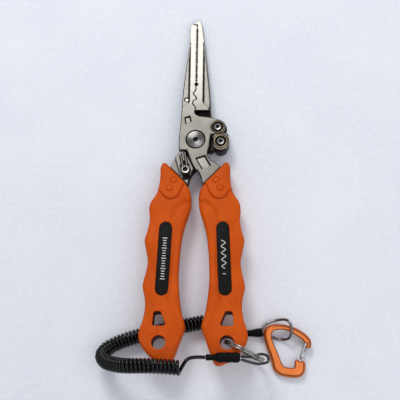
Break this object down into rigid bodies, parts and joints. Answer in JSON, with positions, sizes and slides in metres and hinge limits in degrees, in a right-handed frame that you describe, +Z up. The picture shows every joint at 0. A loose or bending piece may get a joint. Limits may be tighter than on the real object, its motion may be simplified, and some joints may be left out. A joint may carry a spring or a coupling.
{
  "type": "fishing pliers",
  "caption": "Long-nose fishing pliers with side cutters, sliding lock, rubber grips, split ring and a coiled lanyard ending in a small carabiner.",
  "frame": {"origin": "bottom centre of the pliers themselves, on the surface they lie on, without the lanyard, ring and carabiner", "axes": "+Y towards the jaw tips, +X towards the grip that carries the split ring, +Z up; the pliers lie on the surface, leaning 4.04 degrees nose down"},
  "size_m": [0.1365, 0.2443, 0.0356],
  "materials": {
    "blasted_steel": "fine bead-blasted, warm grey",
    "polished_steel": "turned and polished",
    "bronze": "machined",
    "wire_steel": "bright spring wire",
    "carbide": "ground, dark straw tint",
    "black_steel": "black oxide",
    "orange_rubber": "satin moulded rubber",
    "orange_pins": "satin, rubber-covered heads",
    "black_inlay": "fine-grained, matt",
    "black_cord": "glossy vinyl-covered cord",
    "black_sleeve": "matt shrink sleeve",
    "coated_wire": "clear-coated stranded steel wire",
    "orange_anodised": "satin orange anodised aluminium"
  },
  "bodies": {
    "right_half": {"front_lever": "blasted_steel", "right_grip": "orange_rubber", "right_inlay_front": "black_inlay", "right_inlay_back": "black_inlay", "right_tang_pin_upper": "orange_pins", "right_tang_pin_lower": "orange_pins", "pivot_bolt": "polished_steel", "pivot_washer": "bronze", "pivot_bush": "bronze", "pivot_nut": "polished_steel", "return_spring": "wire_steel", "upper_cutter": "carbide", "upper_cutter_screw": "black_steel", "ring_loop": "coated_wire", "ring_sleeve": "black_sleeve", "lanyard_lead": "black_cord", "lanyard_tail": "black_cord", "carabiner_sleeve": "black_sleeve", "carabiner_loop": "coated_wire"},
    "left_half": {"rear_lever": "blasted_steel", "left_grip": "orange_rubber", "left_inlay_front": "black_inlay", "left_inlay_back": "black_inlay", "left_tang_pin_upper": "orange_pins", "left_tang_pin_lower": "orange_pins", "lower_cutter": "carbide", "lower_cutter_screw": "black_steel", "lanyard_coil": "black_cord"},
    "lock": {"lock_slide": "blasted_steel", "lock_screw": "polished_steel"},
    "ring": {"split_ring": "polished_steel"},
    "carabiner": {"carabiner_body": "orange_anodised"},
    "gate": {"carabiner_gate": "wire_steel"}
  },
  "joints": [
    {"name": "pliers_pivot", "type": "hinge", "parent": "right_half", "child": "left_half", "pos_m": [0, 0.0301, 0.008], "axis": [0, -0.0704, -0.9975], "range_deg": [0, 22], "deforming": ["return_spring"]},
    {"name": "lock_travel", "type": "slide", "parent": "left_half", "child": "lock", "axis": [0.1651, -0.9838, 0.0695], "range_m": [0, 0.004]},
    {"name": "ring_turn", "type": "hinge", "parent": "right_half", "child": "ring", "pos_m": [0.0318, -0.109, 0.0143], "axis": [0.4321, 0.9018, 0], "continuous": true},
    {"name": "carabiner_swing", "type": "hinge", "parent": "right_half", "child": "carabiner", "pos_m": [0.0481, -0.09559, 0.00474], "axis": [0, -0.0802, 0.9968], "range_deg": [-8, 8]},
    {"name": "gate_swing", "type": "hinge", "parent": "carabiner", "child": "gate", "pos_m": [0.0714, -0.10336, 0.00411], "axis": [0, 0.0802, -0.9968], "range_deg": [0, 20], "stiffness_Nm_per_rad": 0.01, "springref_deg": -17.19}
  ],
  "couplings": [
    {"joint": "lock_travel", "follows": "pliers_pivot", "m_per_rad": 0.01}
  ]
}
